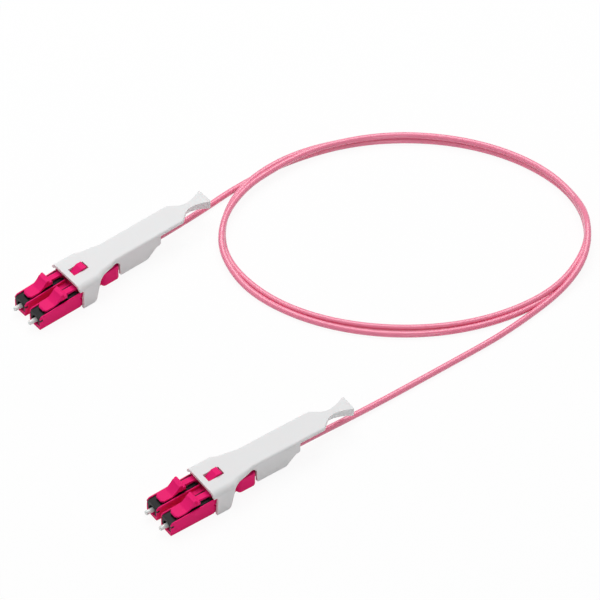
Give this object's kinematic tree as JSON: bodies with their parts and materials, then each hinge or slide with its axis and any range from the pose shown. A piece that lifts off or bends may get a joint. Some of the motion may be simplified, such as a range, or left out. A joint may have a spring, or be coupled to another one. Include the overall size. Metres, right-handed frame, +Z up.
{
  "type": "duplex fibre optic patch cord",
  "caption": "Short looped fibre optic patch cord with a duplex latching connector and a pull-tab release at each end.",
  "frame": {"origin": "on the supporting surface, under the middle of the near connector's housing", "axes": "+X along the near connector from its ferrules towards the cord, +Y to the side where the far connector lies, +Z up"},
  "size_m": [0.1548, 0.0919, 0.0083],
  "materials": {
    "magenta_plastic": "moulded, satin",
    "magenta_boot": "soft moulded",
    "white_plastic": "fine matt",
    "black_plastic": "satin",
    "zirconia": "polished ceramic",
    "steel": "plain",
    "brass": "nickelled",
    "fibre_buffer": "plain",
    "cord_jacket": "smooth jacket"
  },
  "bodies": {
    "cord_set": {"near_housing_base": "magenta_plastic", "near_housing_cover": "magenta_plastic", "near_crimp_post": "brass", "near_crimp_ring": "brass", "near_cord_boot": "magenta_boot", "near_left_plug_shell": "magenta_plastic", "near_left_plug_frame": "black_plastic", "near_left_spring_stop": "steel", "near_left_ferrule_spring": "steel", "near_right_plug_shell": "magenta_plastic", "near_right_plug_frame": "black_plastic", "near_right_spring_stop": "steel", "near_right_ferrule_spring": "steel", "far_housing_base": "magenta_plastic", "far_housing_cover": "magenta_plastic", "far_crimp_post": "brass", "far_crimp_ring": "brass", "far_cord_boot": "magenta_boot", "far_left_plug_shell": "magenta_plastic", "far_left_plug_frame": "black_plastic", "far_left_spring_stop": "steel", "far_left_ferrule_spring": "steel", "far_right_plug_shell": "magenta_plastic", "far_right_plug_frame": "black_plastic", "far_right_spring_stop": "steel", "far_right_ferrule_spring": "steel", "cord_near_lead": "cord_jacket", "cord_coil": "cord_jacket", "cord_far_lead": "cord_jacket"},
    "near_left_latch": {"near_left_latch_lever": "magenta_plastic"},
    "near_left_ferrule_train": {"near_left_ferrule": "zirconia", "near_left_ferrule_flange": "steel", "near_left_fibre": "fibre_buffer"},
    "near_right_latch": {"near_right_latch_lever": "magenta_plastic"},
    "near_right_ferrule_train": {"near_right_ferrule": "zirconia", "near_right_ferrule_flange": "steel", "near_right_fibre": "fibre_buffer"},
    "near_tab": {"near_push_pull_tab": "white_plastic"},
    "near_trigger": {"near_release_trigger": "magenta_plastic"},
    "far_left_latch": {"far_left_latch_lever": "magenta_plastic"},
    "far_left_ferrule_train": {"far_left_ferrule": "zirconia", "far_left_ferrule_flange": "steel", "far_left_fibre": "fibre_buffer"},
    "far_right_latch": {"far_right_latch_lever": "magenta_plastic"},
    "far_right_ferrule_train": {"far_right_ferrule": "zirconia", "far_right_ferrule_flange": "steel", "far_right_fibre": "fibre_buffer"},
    "far_tab": {"far_push_pull_tab": "white_plastic"},
    "far_trigger": {"far_release_trigger": "magenta_plastic"}
  },
  "joints": [
    {"name": "near_tab_slide", "type": "slide", "parent": "cord_set", "child": "near_tab", "axis": [1, 0, 0], "range_m": [0, 0.0015], "stiffness_N_per_m": 800, "springref_m": -0.0005},
    {"name": "near_trigger_hinge", "type": "hinge", "parent": "cord_set", "child": "near_trigger", "pos_m": [0.0002, 0, 0.0056], "axis": [0, -1, 0], "range_deg": [0, 10.05]},
    {"name": "near_left_latch_hinge", "type": "hinge", "parent": "cord_set", "child": "near_left_latch", "pos_m": [-0.0171, 0.00313, 0.0043], "axis": [0, 1, 0], "range_deg": [0, 5.25]},
    {"name": "near_left_ferrule_slide", "type": "slide", "parent": "cord_set", "child": "near_left_ferrule_train", "axis": [1, 0, 0], "range_m": [0, 0.0006], "stiffness_N_per_m": 2500, "springref_m": -0.002, "deforming": ["near_left_ferrule_spring"]},
    {"name": "near_right_latch_hinge", "type": "hinge", "parent": "cord_set", "child": "near_right_latch", "pos_m": [-0.0171, -0.00313, 0.0043], "axis": [0, 1, 0], "range_deg": [0, 5.25]},
    {"name": "near_right_ferrule_slide", "type": "slide", "parent": "cord_set", "child": "near_right_ferrule_train", "axis": [1, 0, 0], "range_m": [0, 0.0006], "stiffness_N_per_m": 2500, "springref_m": -0.002, "deforming": ["near_right_ferrule_spring"]},
    {"name": "far_tab_slide", "type": "slide", "parent": "cord_set", "child": "far_tab", "axis": [0.9981, 0.061, 0], "range_m": [0, 0.0015], "stiffness_N_per_m": 800, "springref_m": -0.0005},
    {"name": "far_trigger_hinge", "type": "hinge", "parent": "cord_set", "child": "far_trigger", "pos_m": [0.01236, 0.07803, 0.0056], "axis": [0.061, -0.9981, 0], "range_deg": [0, 10.05]},
    {"name": "far_left_latch_hinge", "type": "hinge", "parent": "cord_set", "child": "far_left_latch", "pos_m": [-0.0051, 0.0801, 0.0043], "axis": [-0.061, 0.9981, 0], "range_deg": [0, 5.25]},
    {"name": "far_left_ferrule_slide", "type": "slide", "parent": "cord_set", "child": "far_left_ferrule_train", "axis": [0.9981, 0.061, 0], "range_m": [0, 0.0006], "stiffness_N_per_m": 2500, "springref_m": -0.002, "deforming": ["far_left_ferrule_spring"]},
    {"name": "far_right_latch_hinge", "type": "hinge", "parent": "cord_set", "child": "far_right_latch", "pos_m": [-0.00471, 0.07386, 0.0043], "axis": [-0.061, 0.9981, 0], "range_deg": [0, 5.25]},
    {"name": "far_right_ferrule_slide", "type": "slide", "parent": "cord_set", "child": "far_right_ferrule_train", "axis": [0.9981, 0.061, 0], "range_m": [0, 0.0006], "stiffness_N_per_m": 2500, "springref_m": -0.002, "deforming": ["far_right_ferrule_spring"]}
  ],
  "couplings": [
    {"joint": "near_trigger_hinge", "follows": "near_tab_slide", "rad_per_m": 116.36},
    {"joint": "near_left_latch_hinge", "follows": "near_tab_slide", "rad_per_m": 60.505},
    {"joint": "near_right_latch_hinge", "follows": "near_tab_slide", "rad_per_m": 60.505},
    {"joint": "far_trigger_hinge", "follows": "far_tab_slide", "rad_per_m": 116.36},
    {"joint": "far_left_latch_hinge", "follows": "far_tab_slide", "rad_per_m": 60.505},
    {"joint": "far_right_latch_hinge", "follows": "far_tab_slide", "rad_per_m": 60.505}
  ]
}
